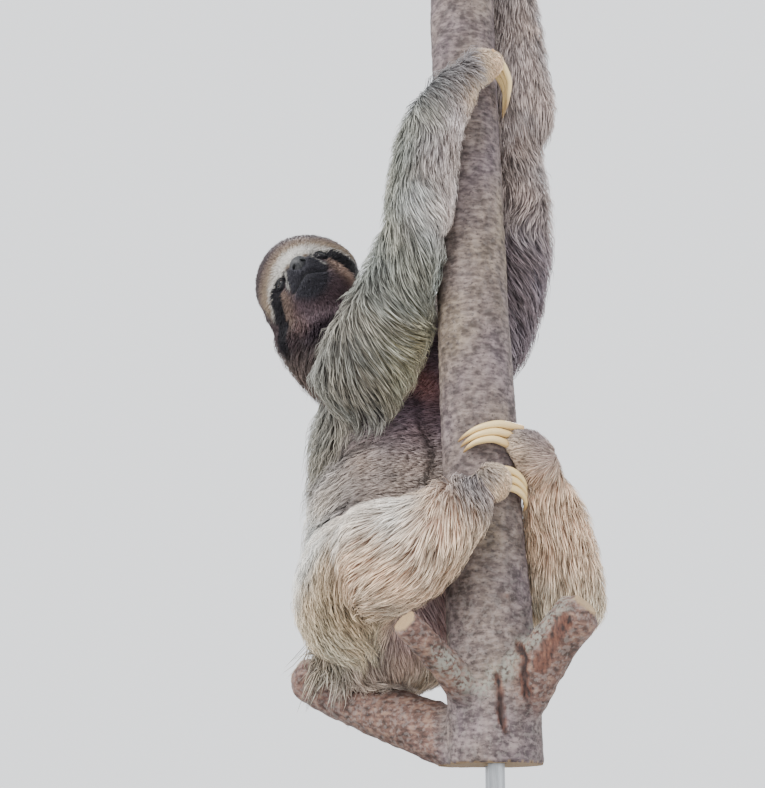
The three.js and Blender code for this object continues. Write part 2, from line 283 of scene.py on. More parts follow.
def placed(name, data):
    """A new piece in the scene, made of this mesh."""
    made = bpy.data.objects.new(name, data)
    bpy.context.collection.objects.link(made)
    return made


def copied(*nodes):
    """A new piece made of these nodes' own surfaces, with their shared corners merged."""
    bpy.ops.object.select_all(action="DESELECT")
    for name in nodes:
        one = placed("copy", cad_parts[name].data.copy())
        one.data.materials.clear()
        one.select_set(True)
    bpy.context.view_layer.objects.active = one
    if len(nodes) > 1:
        bpy.ops.object.join()
    edited(bpy.ops.mesh.select_all, action="SELECT")
    edited(bpy.ops.mesh.remove_doubles, threshold=0.05 * MM)
    return bpy.context.object


def modified(piece, kind, **settings):
    """Gives the piece a modifier and applies it."""
    bpy.context.view_layer.objects.active = piece
    step = piece.modifiers.new("step", kind)
    for name, value in settings.items():
        setattr(step, name, value)
    bpy.ops.object.modifier_apply(modifier=step.name)


def listed(items, what, wide, kind):
    """What each item of a mesh's list says, as rows of `wide` numbers."""
    rows = np.empty(len(items) * wide, dtype=kind)
    items.foreach_get(what, rows)
    return rows.reshape(-1, wide)


def places(piece, what="co"):
    """Each point's place in mm, or its normal, as rows."""
    rows = listed(piece.data.vertices, what, 3, np.float32).astype(float)
    return rows / MM if what == "co" else rows


def moved(piece, rows):
    piece.data.vertices.foreach_set("co", (rows * MM).astype(np.float32).ravel())
    piece.data.update()


def noted(piece, name, values):
    """Keeps a number, or a colour, for each point as an attribute of the piece."""
    kind = "FLOAT" if values.ndim == 1 else "FLOAT_COLOR"
    made = piece.data.attributes.new(name, kind, "POINT")
    if values.ndim == 1:
        made.data.foreach_set("value", values.astype(np.float32))
    else:
        full = np.ones((len(values), 4), dtype=np.float32)
        full[:, :3] = values
        made.data.foreach_set("color", full.ravel())


def wander(rows, size, seed=0.0):
    """Smooth random values from about -1 to 1 that change over `size` mm, one for each place."""
    shift = Vector((seed * 7.1, seed * 3.7, seed * 5.3))
    return np.array([noise.noise(Vector(row) + shift) for row in (rows / size).tolist()])


def unit(rows):
    return rows / np.maximum(np.linalg.norm(rows, axis=-1, keepdims=True), 1e-9)


def smooth(values, start, end):
    """0 before start, 1 after end, with an even turn between them. End may be below start."""
    share = np.clip((values - start) / (end - start), 0, 1)
    return share * share * (3 - 2 * share)


def line_distance(spots, line):
    """The distance in mm to a line of points, and how far along it the nearest point is, from 0 to 1."""
    line = np.array(line, float)
    best = np.full(len(spots), 1e9)
    along = np.zeros(len(spots))
    for number, (a, b) in enumerate(zip(line[:-1], line[1:])):
        share = np.clip(((spots - a) @ (b - a)) / ((b - a) @ (b - a)), 0, 1)
        away = np.linalg.norm(spots - a - share[:, None] * (b - a), axis=1)
        along = np.where(away < best, (number + share) / (len(line) - 1), along)
        best = np.minimum(best, away)
    return best, along


perch = copied("perch")
perch.name = "trunk_with_stubs"
modified(perch, "REMESH", mode="VOXEL", voxel_size=PERCH_VOXEL * MM, use_smooth_shade=True)
modified(perch, "SMOOTH", factor=0.5, iterations=7)
spots, ways = places(perch), places(perch, "normal")
axis_share = np.clip((spots[:, 2] - TRUNK_FOOT[2]) / (TRUNK_HEAD[2] - TRUNK_FOOT[2]), 0, 1)[:, None]
from_axis = spots - (TRUNK_FOOT * (1 - axis_share) + TRUNK_HEAD * axis_share)
trunk = smooth(np.hypot(from_axis[:, 0], from_axis[:, 1]), 62, 46)  # 0 out on the stubs
rings = wander(spots * (0.16, 0.16, 1), 5.0, 1)
scabs = wander(spots, 11, 2)
low_down = smooth(spots[:, 2], 440, 250)  # where the bark is rougher
front = smooth(ways[:, 1], 0.2, -0.2)
flat = spots[:, (0, 2)] + 1.6 * np.stack((wander(spots, 7, 5), wander(spots, 7, 10)), 1)
torn_bark, split = np.zeros((2, len(spots)))
for tear, width in SPLITS:
    away = line_distance(flat, tear)[0]
    ragged = width * (1 + 0.8 * wander(spots, 9, 11))
    torn_bark = np.maximum(torn_bark, smooth(away - ragged, 2, -1) * front)
    if width < SPLIT_UP_TO:
        split = np.maximum(split, smooth(away + 2 * wander(spots, 12, 13), 2.4, 0.4) * front)
crotch = np.minimum(*(line_distance(flat, line)[0] for line in CROTCHES))
crotch = smooth(crotch + 7 * wander(spots, 12, 12), 13, 4) * smooth(ways[:, 1], 0.6, 0.1)
nearest_knot = np.round(spots / KNOT_EVERY + 0.4 * wander(spots, 90, 6)[:, None]) * KNOT_EVERY
knots = np.linalg.norm(spots - nearest_knot, axis=1)
scars = smooth(knots + 7 * wander(spots, 5, 7), 11, 7) * low_down
bark_height = (
    1.5 * wander(spots, 62, 3)
    + 0.4 * rings * trunk * (1 - 0.6 * low_down)
    + (0.5 + 1.3 * low_down) * np.maximum(scabs, -0.2)
    + 0.35 * wander(spots, 4.5, 4)
    + (0.9 * wander(spots * (1, 1, 0.3), 5, 8) - 1.2) * torn_bark - 2.2 * split
    + 1.1 * np.sin(math.pi * torn_bark)
    + 0.7 * scars * wander(spots, 3, 9)
)
spots += ways * bark_height[:, None]
sawn = np.zeros(len(spots))
pith = np.zeros(len(spots))
cuts = [(TRUNK_HEAD, (0, 0, 1)), (TRUNK_FOOT, (0, 0, -1)), *SAWN_ENDS.values()]
for centre, way in cuts:
    way = unit(np.array(way, float))
    past = (spots - centre) @ way
    from_pith = np.linalg.norm(spots - centre - past[:, None] * way, axis=1)
    on_cut = (past > -BARK_THICK) & (past < 8) & (from_pith < STUB_REACH) & (ways @ way > 0.35)
    spots[on_cut] -= past[on_cut, None] * way
    sawn[on_cut & (ways @ way > 0.75)] = 1
    pith[on_cut] = from_pith[on_cut]
moved(perch, spots)
for name, values in (("sawn", sawn), ("pith", pith), ("low_down", low_down), ("split", split),
                     ("crotch", crotch), ("torn_bark", np.maximum(torn_bark, 0.8 * scars)),
                     ("on_stub", (1 - trunk) * (1 - sawn))):
    noted(perch, name, values)


def noted_value(tree, name, output="Fac"):
    made = tree.nodes.new("ShaderNodeAttribute")
    made.attribute_name = name
    return made.outputs[output]


def worked(tree, operation, first, second=0.0):
    """A Math node's result. Its inputs are numbers or sockets."""
    made = tree.nodes.new("ShaderNodeMath")
    made.operation = operation
    for socket, value in zip(made.inputs, (first, second)):
        if isinstance(value, bpy.types.NodeSocket):
            tree.links.new(value, socket)
        else:
            socket.default_value = value
    return made.outputs["Value"]


def times(tree, first, second):
    return worked(tree, "MULTIPLY", first, second)


def clipped(tree, value, start, end):
    """0 below start and 1 above end."""
    made = tree.nodes.new("ShaderNodeMapRange")
    made.inputs["From Min"].default_value = start
    made.inputs["From Max"].default_value = end
    tree.links.new(value, made.inputs["Value"])
    return made.outputs["Result"]


bark, tree, shader = finish("ringed_bark", 0.82)
rings_fine = pattern(tree, 3.6, (2.6, 2.6, 1), 6)
mottle = pattern(tree, 12, (1, 1, 1), 8)
cloud = pattern(tree, 75, (1, 1, 1.6), 3)
speck = pattern(tree, 2.4, (1.5, 1.5, 1), 3)
worn = worked(tree, "ADD", times(tree, rings_fine, 0.52), times(tree, mottle, 0.48))


def bark_tones(*tones):
    """The colours of worn bark, from its cracks to its ridges."""
    return ramp(tree, worn, *zip((0.39, 0.47, 0.53, 0.61), tones))


mauve_bark = bark_tones(0x3A3033, 0x52464A, 0x65585B, 0x7C6E70)
tan_bark = bark_tones(0x42382F, 0x5A4E44, 0x6C5F53, 0x837566)
stub_bark = bark_tones(0x36261F, 0x553B32, 0x694B40, 0x836655)
flecks = clipped(tree, pattern(tree, 4.5, detail=7), 0.5, 0.6)
often = worked(tree, "ADD", times(tree, noted_value(tree, "low_down"), 0.18), 0.16)
lichen = times(tree, clipped(tree, pattern(tree, 3.4, detail=7), 0.43, 0.56), noted_value(tree, "crotch"))
fibre = pattern(tree, 3, (1, 1, 3.5), 6)
torn_wood = ramp(tree, fibre, (0.38, 0x1E100E), (0.46, 0x482A21), (0.6, 0x5F3C2F), (0.72, 0x72513F))
year_rings = clipped(tree, worked(tree, "SINE", times(tree, noted_value(tree, "pith"), 2.1)), -1, 1)
end_grain = ramp(tree, year_rings, (0.0, 0x8E7556), (0.8, 0xA8906D), (1.0, 0x70563B))
worn_saw_cut = clipped(tree, pattern(tree, 5, detail=5), 0.35, 0.8)
colour = mixed(tree, clipped(tree, cloud, 0.36, 0.66), mauve_bark, tan_bark)
for share, over in (  # what lies over the trunk's own bark, from the lowest layer up
    (times(tree, noted_value(tree, "on_stub"), 0.8), stub_bark),
    (times(tree, clipped(tree, speck, 0.57, 0.68), 0.7), solid(0x2B2224)),
    (times(tree, flecks, often), solid(0x8C837F)),
    (times(tree, lichen, 0.75), solid(0x83837A)),
    (times(tree, noted_value(tree, "torn_bark"), 0.9), torn_wood),
    (times(tree, noted_value(tree, "split"), 0.85), solid(0x190F11)),
    (noted_value(tree, "sawn"), mixed(tree, worn_saw_cut, end_grain, solid(0x9A8263))),
):
    colour = mixed(tree, share, colour, over)
coloured(tree, shader, colour)
bumped(tree, shader, worked(tree, "ADD", worn, times(tree, mottle, 0.6)), 2.0, 0.6)
perch.data.materials.append(bark)
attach(perch, "root")
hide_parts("perch")

# Eyes: two glass eyes with a very dark brown iris and a black pupil, set in their sockets so deep
# that the lids close round them.
HEAD = np.array((-127.0, 70.0, 682.0))  # the head's centre, then the way it faces and the way to its left
FACES = unit(np.array((-0.28, -0.91, 0.305)))
LEFTWARD = unit(np.array((0.805, -0.05, 0.591)))
CROWN = np.cross(FACES, LEFTWARD)
HEAD_AXES = np.stack((FACES, LEFTWARD, CROWN))
EYE_RADIUS, CORNEA_STANDS = 6.0, 0.06  # how much further out the cornea stands, as a share of the radius
EYE_AT = (33.8, 24.0, -6.0)  # forward, to the side and up from the head's centre
EYE_LOOKS = (0.86, 0.5, 0.02)


def in_head(rows):
    """Places as (forward, to its left, up) from the head's centre."""
    return (rows - HEAD) @ HEAD_AXES.T


def eye_frame(side):
    """The eye's centre and its axes, (outwards, to the side, up), in the head's own directions."""
    centre = np.array((EYE_AT[0], side * EYE_AT[1], EYE_AT[2]))
    out = unit(np.array((EYE_LOOKS[0], side * EYE_LOOKS[1], EYE_LOOKS[2])))
    corner = unit(np.array((-out[1] * side, out[0] * side, -0.2)))
    corner = unit(corner - out * (corner @ out))
    return centre, np.stack((out, corner, np.cross(out, corner) * side))


glass, tree, shader = finish("glass_eye", 0.06, Specular_IOR_Level=0.32)
iris = ramp(tree, noted_value(tree, "from_pupil"), (0.0, 0x050404), (0.3, 0x060404), (0.36, 0x2E1A10),
            (0.62, 0x20120C), (0.7, 0x0C0807), (1.0, 0x171010))
coloured(tree, shader, iris)
for name, side in (("right", -1), ("left", 1)):
    centre, axes = eye_frame(side)
    middle = HEAD + centre @ HEAD_AXES
    bpy.ops.object.select_all(action="DESELECT")
    bpy.ops.mesh.primitive_uv_sphere_add(segments=48, ring_count=32, radius=EYE_RADIUS * MM,
                                         location=middle * MM)
    eye = kept_in_place()
    eye.name = "glass_eye_" + name
    rows = places(eye)
    looks = unit(rows - middle) @ (axes[0] @ HEAD_AXES)
    cornea = smooth(looks, 0.72, 0.93)
    moved(eye, rows + (rows - middle) * (CORNEA_STANDS * cornea)[:, None])
    noted(eye, "from_pupil", np.arccos(np.clip(looks, -1, 1)) / 1.6)
    bpy.ops.object.shade_smooth()
    eye.data.materials.append(glass)
    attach(eye, "root")
    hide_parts("eye_" + name)

# Skin: one tanned hide over a carved body, with no seam, under the coat all over. It is bare only on
# the nose, the lips and the rims of the eyelids, and it is dyed with the coat's own markings.
MIDLINE = ("head", "neck", "torso", "tail")
DEPTHS = {"head": 3.0, "neck": 9.0, "torso": 12.0, "tail": 7.0, "upper_arm": 11.0, "forearm": 7.5,
          "hand": 2.6, "thigh": 10.5, "shank": 8.5, "foot": 2.6}  # how deep the coat lies over each
BELLY_DEPTH, BACK_DEPTH = 6.0, 17.0
ROUGH_VOXEL, SKIN_VOXEL = 4.0, 3.6
FLESH = [name + side for name in DEPTHS for side in (("",) if name in MIDLINE else ("_right", "_left"))]
VENTRAL = unit(np.array((0.58, -0.81, 0.0)))  # the way its belly faces, to the trunk
TORSO_AXIS = np.array((-33.0, 78.0, 0.0))

cad_rows, cad_faces, face_part = [], [], []
for number, name in enumerate(FLESH):
    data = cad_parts[name].data
    start = len(cad_rows)
    cad_rows += [v.co / MM for v in data.vertices]
    cad_faces += [tuple(start + i for i in p.vertices) for p in data.polygons]
    face_part += [number] * len(data.polygons)
cad_tree = BVHTree.FromPolygons(cad_rows, cad_faces)


def parts_at(rows):
    """For each place, the number in FLESH of the body part that it belongs to."""
    return np.array([face_part[cad_tree.find_nearest(row)[2]] for row in rows.tolist()])


def on_parts(part, *names):
    """Which of the places with these part numbers are on the parts named."""
    return np.isin(part, [FLESH.index(name) for name in names])


def links_of(piece):
    return listed(piece.data.edges, "vertices", 2, np.int32)


def evened(values, links, rounds):
    """The values, each one blended with its neighbours' over and over."""
    first = np.concatenate((links[:, 0], links[:, 1]))
    second = np.concatenate((links[:, 1], links[:, 0]))
    count = np.maximum(np.bincount(first, minlength=len(values)), 1)
    for _ in range(rounds):
        values = 0.5 * values + 0.5 * np.bincount(first, values[second], len(values)) / count
    return values


def belly_side(rows, ways):
    """1 on the belly and chest, 0 on the back."""
    out = unit((rows - TORSO_AXIS) * (1, 1, 0))
    return smooth(0.6 * (out @ VENTRAL) + 0.4 * (ways @ VENTRAL), -0.05, 0.5)


def depths_at(part):
    """How deep the coat lies at each place, by its body part alone."""
    kinds = [name if name in DEPTHS else name.rsplit("_", 1)[0] for name in FLESH]
    return np.array([DEPTHS[kind] for kind in kinds])[part]


def with_torso(depth, part, belly):
    """The same depths, but on the torso a blend of the belly's and the back's."""
    return np.where(on_parts(part, "torso"), BELLY_DEPTH * belly + BACK_DEPTH * (1 - belly), depth)


skin = copied(*FLESH)
skin.name = "hide"
modified(skin, "DISPLACE", strength=0.9 * MM, mid_level=0.0)
modified(skin, "REMESH", mode="VOXEL", voxel_size=ROUGH_VOXEL * MM)
modified(skin, "SMOOTH", factor=0.5, iterations=6)
rows, ways = places(skin), places(skin, "normal")
part = parts_at(rows)
depth = evened(with_torso(depths_at(part), part, belly_side(rows, ways)), links_of(skin), 14)
moved(skin, rows - ways * depth[:, None])
modified(skin, "REMESH", mode="VOXEL", voxel_size=SKIN_VOXEL * MM, use_smooth_shade=True)
modified(skin, "SMOOTH", factor=0.5, iterations=4)

# the face is cut finer, and finer still round the eyes and the nose
FACE_FROM, FACE_FINE, FACE_REACH = 6, 15, 75
NOSE_AT = np.array((57.0, 0.0, -12.0))


def near_feature(local, reach):
    near = np.linalg.norm(local - NOSE_AT, axis=1) < reach + 2
    for side in (-1, 1):
        near |= np.linalg.norm(local - eye_frame(side)[0], axis=1) < reach
    return near


def on_face(local, ahead):
    return (local[:, 0] > ahead) & (np.linalg.norm(local, axis=1) < FACE_REACH)


for cut in (lambda local: on_face(local, FACE_FROM), lambda local: on_face(local, FACE_FROM + 6),
            lambda local: near_feature(local, FACE_FINE)):
    centres = np.array([face.center for face in skin.data.polygons]) / MM
    chosen = cut(in_head(centres))
    none_picked("FACE")
    skin.data.polygons.foreach_set("select", chosen)
    edited(bpy.ops.mesh.subdivide, number_cuts=1, smoothness=0.0)

LID_RADIUS, LID_EDGE, LID_REACH = 6.8, 5.9, 12.5
OPENING = (4.5, 2.7)  # half the length and half the height between the lids
SOCKET_RADIUS = 4.6
NOSE_FRONT = (44, 49)  # how far forward the front of the nose begins
NOSE_PAD = {"up": -10.5, "wide": 10.2, "high": 7.4}
NOSTRIL = {"side": 5.8, "up": -13.0, "long": 2.5, "high": 1.7, "depth": 4.5}
MOUTH_UP, MOUTH_DROOP, MOUTH_HALF = -22.5, 0.13, 27.0


def eye_measures(local, side):
    """Places round an eye: how far out, across and up from its middle, and 1 on the lids' edge."""
    centre, axes = eye_frame(side)
    out, across, up = ((local - centre) @ axes.T).T
    return out, across, up, np.hypot(across / OPENING[0], up / OPENING[1])


def mouth_gap(local):
    """How far above the line of the mouth a place is, in mm."""
    aside = np.abs(local[:, 1])
    curl = 3.5 * smooth(aside, 19, 28)
    return local[:, 2] - (MOUTH_UP - MOUTH_DROOP * aside + curl)


def nose_pad(local):
    """1 on the bare pad of the nose, 0 off it."""
    up = local[:, 2] - NOSE_PAD["up"]
    wide = NOSE_PAD["wide"] - 0.22 * np.abs(up - 3)
    away = np.sqrt((local[:, 1] / wide) ** 2 + (up / NOSE_PAD["high"]) ** 2)
    return smooth(away, 1.12, 0.9) * smooth(local[:, 0], *NOSE_FRONT)


CREASES = (  # folds of the belly's skin, as lines on its front: (right, up)
    ((-121, 452), (-98, 472), (-84, 482), (-68, 489), (-46, 497)),
    ((-116, 413), (-89, 431), (-74, 436), (-52, 441)),
    ((-10, 541), (-4, 510), (5, 487), (4, 470), (-3, 455)),
)
CREASE_DEPTH, CREASE_WIDTH, CREASE_SHADE = 5.0, 4.2, 0.62


def ridge(values, wide):
    """1 where the values are 0, and nearly 0 where they are twice as large as `wide`."""
    return np.exp(-(values / wide) ** 2)


def crease_share(rows):
    """1 in the bottom of a crease, 0 a few mm away from it."""
    away = np.min([line_distance(rows[:, (0, 2)], fold)[0] for fold in CREASES], axis=0)
    on_belly = smooth(rows[:, 1], -16, -6) * smooth(rows[:, 1], 75, 60)
    return ridge(away, CREASE_WIDTH) * on_belly


rows = places(skin)
local = in_head(rows)
rows -= places(skin, "normal") * (CREASE_DEPTH * crease_share(rows))[:, None]
faced = on_face(local, FACE_FROM)
shaped = local.copy()
gap = mouth_gap(local)
lips = smooth(np.abs(local[:, 1]), MOUTH_HALF, MOUTH_HALF - 5) * smooth(local[:, 0], 20, 26)
shaped[:, 0] += 1.1 * nose_pad(local)
shaped[:, 0] -= 1.9 * ridge(gap, 0.85) * lips  # the line of the mouth
shaped[:, 0] += 0.7 * ridge(gap - 2.4, 1.6) * lips  # the upper lip
shaped[:, 0] -= 0.7 * ridge(local[:, 1], 0.7) * smooth(np.abs(local[:, 2] + 17.5), 4.5, 3)  # the cleft in it
front = smooth(local[:, 0], *NOSE_FRONT)
for side in (-1, 1):
    from_middle = local[:, 1] * side - NOSTRIL["side"]
    away = np.hypot(from_middle / NOSTRIL["long"],
                    (local[:, 2] - NOSTRIL["up"] + 0.25 * from_middle) / NOSTRIL["high"])
    shaped[:, 0] -= NOSTRIL["depth"] * np.sqrt(np.clip(1 - away, 0, 1)) * front
    shaped[:, 0] += 0.7 * ridge(away - 1.35, 0.35) * front  # the nostril's rim
    out, across, up, opening = eye_measures(local, side)
    from_eye = np.hypot(across, up)
    cap = np.sqrt(np.maximum(LID_RADIUS ** 2 - np.minimum(from_eye, LID_EDGE) ** 2, 0))
    cap -= np.maximum(from_eye - LID_EDGE, 0) * 1.1
    lid = smooth(from_eye, LID_REACH, 6.2)
    target = cap * lid + out * (1 - lid)
    target += 0.35 * ridge(opening - 1.16, 0.12)  # the lids' rims, and the folds over and under them
    target -= 0.75 * ridge(up - 5.6 + 0.05 * across ** 2, 0.6) * smooth(np.abs(across), 7, 4)
    target -= 0.5 * ridge(up + 5.3 - 0.06 * across ** 2, 0.6) * smooth(np.abs(across), 6, 3)
    inside = np.sqrt(np.maximum(SOCKET_RADIUS ** 2 - from_eye ** 2, 0.2))
    target = np.where(opening < 1.0, inside, target)
    reach = (from_eye < LID_REACH) & (out > -9)
    shaped[reach] += ((target - out)[reach, None]) * eye_frame(side)[1][0]
rows[faced] = (HEAD + shaped @ HEAD_AXES)[faced]
moved(skin, rows)

# The coat's kinds: for each, the colour at its roots and at its tips and its length in mm. Where each
# kind grows, and which way it lies, is set by a few combed places, and by the body part elsewhere.
KINDS = {
    "mantle": (0x38312E, 0xA5A399, 44), "fringe": (0xAEA47C, 0xFFFAD6, 30),
    "arm_grey": (0x393B3A, 0xB1B3A8, 28), "arm_dark": (0x393A40, 0x7C8188, 18),
    "arm_cream": (0x8C8583, 0xFBF7F3, 26), "arm_inner": (0xAE9B97, 0xFFEFEA, 18),
    "mauve": (0x665756, 0xDACAC4, 26), "left_dark": (0x473E45, 0x9F9199, 34),
    "chest": (0x453440, 0x806978, 13), "belly": (0x84756F, 0xCCBDB4, 11), "flank": (0x645B5D, 0xA9A0A3, 16),
    "side": (0xAAA6A2, 0xFFFEF8, 36), "leg": (0xA87A62, 0xFFE5C8, 32), "rump": (0x6E5B49, 0xE4CBA6, 34),
    # of these, rump_pale is pale fur painted paler still: partly its own colour, partly painted light that
    # lifts the shadow under the rump and on the left shank beside the trunk
    "rump_pale": (0xCCB094, 0xFFF6DC, 34), "rump_dim": (0x6C5B55, 0xDCC8BA, 30),
    # the first kind here grows in the shadow between the right leg and the trunk; it is painted much paler
    # than the fur there, as painted light that lifts that shadow
    "shadow_painted_paler": (0xA08080, 0xF4D2CF, 26), "ankle": (0x5C5456, 0xB4AAA9, 20), "paw": (0x6C5E62, 0x9E9090, 9),
    "palm": (0xC4A68C, 0xFFE6C8, 5), "back": (0x463D37, 0xA99F90, 46), "blotch": (0x7A7064, 0xDCD3BE, 46),
    "nape": (0x382D2C, 0x7A6B65, 32), "armpit": (0xA0584E, 0xDC9C8C, 7),
}
KIND_NAMES = list(KINDS)
GROWS = {  # the kind of coat on each part, where no combed place is near
    "head": "nape", "neck": "nape", "torso": "back", "tail": "rump",
    "upper_arm_right": "mantle", "forearm_right": "arm_grey", "hand_right": "paw",
    "upper_arm_left": "mauve", "forearm_left": "mauve", "hand_left": "paw",
    "thigh_right": "rump", "shank_right": "leg", "foot_right": "paw",
    "thigh_left": "rump", "shank_left": "leg", "foot_left": "paw",
}
COMBED = {  # on each part: place, the angle at which the hair lies there (0 to the right, 90 up), kind, reach
    "upper_arm_right": (
        ((-100, -31, 571), -98, "mantle", 30), ((-85, -20, 532), -72, "mantle", 30),
        ((-60, -60, 593), -47, "mantle", 26), ((-40, -75, 620), -42, "mantle", 24),
        ((-20, -54, 590), -10, "fringe", 20), ((-27, -32, 558), -36, "fringe", 20),
        ((-55, -30, 540), -56, "mantle", 22), ((-50, -75, 669), -102, "arm_grey", 26),
        ((-25, -96, 665), -66, "arm_grey", 22), ((-8, -110, 700), -44, "arm_cream", 15),
    ),
    "torso": (
        ((-121, 52, 530), -95, "mantle", 30), ((-97, 24, 512), -84, "mantle", 18),
        ((-12, 7, 545), 180, "chest", 34), ((-22, 5, 506), -172, "chest", 20),
        ((2, 4, 557), -95, "armpit", 13), ((-50, 0, 462), -176, "belly", 30),
        ((-15, 2, 452), -176, "belly", 30), ((-76, 9, 462), -168, "belly", 20),
        ((-97, 20, 462), -150, "belly", 16), ((-72, 12, 508), -170, "chest", 11),
        ((-118, 46, 468), -125, "flank", 9), ((-92, 18, 455), -138, "side", 12),
        ((-108, 29, 440), -134, "side", 17), ((-120, 42, 420), -122, "side", 17),
        ((-88, 12, 430), -140, "flank", 10), ((-50, 7, 264), -80, "rump_dim", 20),
        ((-30, 10, 262), -84, "rump_dim", 18), ((-2, 20, 262), -85, "rump_pale", 14),
        # painted light: paler fur laid into the shadow between the right leg and the trunk
        ((-1, 0, 312), -65, "shadow_painted_paler", 24),
    ),
    "forearm_right": (
        ((-40, -90, 721), -98, "arm_grey", 24), ((-8, -110, 714), -42, "arm_cream", 15),
        ((22, -99, 718), -62, "arm_inner", 18), ((-32, -103, 784), -102, "arm_grey", 20),
        ((-8, -117, 812), -46, "arm_grey", 15), ((8, -116, 838), -30, "arm_dark", 17),
        ((32, -115, 858), -20, "ankle", 13), ((9, -116, 770), -100, "mauve", 16),
        ((28, -113, 805), -95, "arm_inner", 18), ((46, -108, 830), -60, "palm", 10),
    ),
    "hand_right": (
        ((68, -101, 853), -50, "palm", 14),
    ),
    "forearm_left": (
        ((103, -24, 903), -85, "mauve", 40), ((124, -17, 838), -80, "mauve", 30),
    ),
    "upper_arm_left": (
        ((96, -20, 791), -70, "mauve", 28), ((111, -17, 742), -145, "mauve", 18),
        ((105, -14, 690), -52, "left_dark", 30), ((94, 3, 612), -70, "left_dark", 34),
    ),
    "thigh_right": (
        ((-112, -20, 385), -112, "side", 22), ((-72, -105, 349), -128, "leg", 24),
        ((-107, -60, 323), -80, "rump", 30), ((-92, -30, 285), -70, "rump_pale", 25),
        ((-72, -20, 268), -80, "rump_pale", 16),
    ),
    "shank_right": (
        ((-31, -105, 398), -160, "side", 17), ((-83, -96, 394), -145, "side", 15),
        ((-59, -111, 370), -148, "leg", 20), ((6, -124, 389), -97, "leg", 18),
        ((15, -116, 362), -95, "leg", 20), ((-31, -113, 343), -155, "leg", 22),
        ((32, -118, 432), -72, "ankle", 13),
    ),
    "foot_right": (
        ((52, -116, 436), -60, "ankle", 6), ((62, -112, 424), -50, "palm", 13),
    ),
    "foot_left": (
        ((84, -80, 463), 175, "palm", 11), ((98, -74, 472), 160, "paw", 12),
    ),
    "shank_left": (
        ((110, -62, 420), -95, "leg", 26), ((129, -57, 402), -75, "leg", 24),
        ((113, -46, 364), -95, "leg", 22), ((115, -38, 330), -95, "rump_pale", 24),
    ),
}
PAW_WAYS = {"hand_right": (0.85, 0.4, 0.1), "hand_left": (-0.2, -0.95, 0.1),
            "foot_right": (0.85, 0.35, 0.1), "foot_left": (-0.85, -0.45, 0.1)}  # to the claws
COMB_NEAR = 0.03  # how strong a part's own coat is against the combed places
DOWN = np.array((0.0, 0.0, -1.0))
combs = [(name, *comb) for name, part_combs in COMBED.items() for comb in part_combs]
combed_at = np.array([comb[1] for comb in combs], float)
combed_angle = np.radians([comb[2] for comb in combs])
combed_way = np.stack((np.cos(combed_angle), 0 * combed_angle, np.sin(combed_angle)), 1)
combed_kind = np.array([KIND_NAMES.index(comb[3]) for comb in combs])
combed_reach = np.array([comb[4] for comb in combs], float)
NEXT_TO = {"torso": ("upper_arm_right", "thigh_right"), "tail": ("torso",)}  # whose combing reaches here
for side in ("_right", "_left"):
    for upper, lower, paw in (("upper_arm", "forearm", "hand"), ("thigh", "shank", "foot")):
        NEXT_TO[upper + side] = ("torso", lower + side)
        NEXT_TO[lower + side] = (upper + side,)
        NEXT_TO[paw + side] = (lower + side,)
counts = np.array([[1.0 if comb[0] == name else 0.35 if comb[0] in NEXT_TO.get(name, ()) else 0
                    for comb in combs] for name in FLESH])


def comb_weights(rows, part):
    away = ((rows[:, None, :] - combed_at[None]) ** 2).sum(2)
    return np.exp(-away / (2 * combed_reach ** 2)) * counts[part]


def kinds_at(rows, ways, part):
    """How much of each kind of coat grows at each place, as shares that add up to 1."""
    weights = comb_weights(rows, part)
    shares = np.zeros((len(rows), len(KINDS)))
    for column, kind in enumerate(combed_kind):
        shares[:, kind] += weights[:, column]
    own = np.array([KIND_NAMES.index(GROWS[name]) for name in FLESH])[part]
    front = belly_side(rows, ways) * on_parts(part, "torso")
    patches = smooth(wander(rows * (1, 1, 0.8), 38, 21), 0.12, 0.3) * smooth(rows[:, 2], 620, 520)
    number = np.arange(len(rows))
    np.add.at(shares, (number, own), COMB_NEAR * (1 - front))
    shares[:, KIND_NAMES.index("belly")] += COMB_NEAR * front
    backed = (own == KIND_NAMES.index("back")) * (1 - front) * patches
    shares[:, KIND_NAMES.index("blotch")] += 3 * COMB_NEAR * backed
    return shares / shares.sum(1, keepdims=True)


def lie_at(rows, ways, part):
    """The way that the hair lies at each place: along the skin, of length 1."""
    weights = comb_weights(rows, part)
    pull = weights @ combed_way
    local = in_head(rows)
    outward = unit((rows - TORSO_AXIS) * (1, 1, 0))
    torso = on_parts(part, "torso")
    own = np.tile(DOWN, (len(rows), 1))
    own[torso] = (0.9 * DOWN - 0.8 * VENTRAL + 0.2 * outward)[torso]
    head = on_parts(part, "head")
    from_nose = unit(local - NOSE_AT) @ HEAD_AXES
    behind = smooth(local[:, 0], 5, -35)[:, None]
    own[head] = (from_nose * (1 - behind) + (0.8 * DOWN - 0.5 * FACES) * behind)[head]
    hand = np.zeros(len(rows), dtype=bool)
    for paw, way in PAW_WAYS.items():
        hand |= on_parts(part, paw)
        own[on_parts(part, paw)] = way
    pull += own * (COMB_NEAR + 0.25 * head[:, None])
    sway = np.stack([0.3 * wander(rows, 26, 30 + k) + 0.26 * wander(rows, 11, 33 + k) for k in range(3)], 1)
    pull = unit(pull) + sway * np.where(head | hand, 0.35, 1.0)[:, None]
    return unit(pull - ways * (pull * ways).sum(1, keepdims=True))


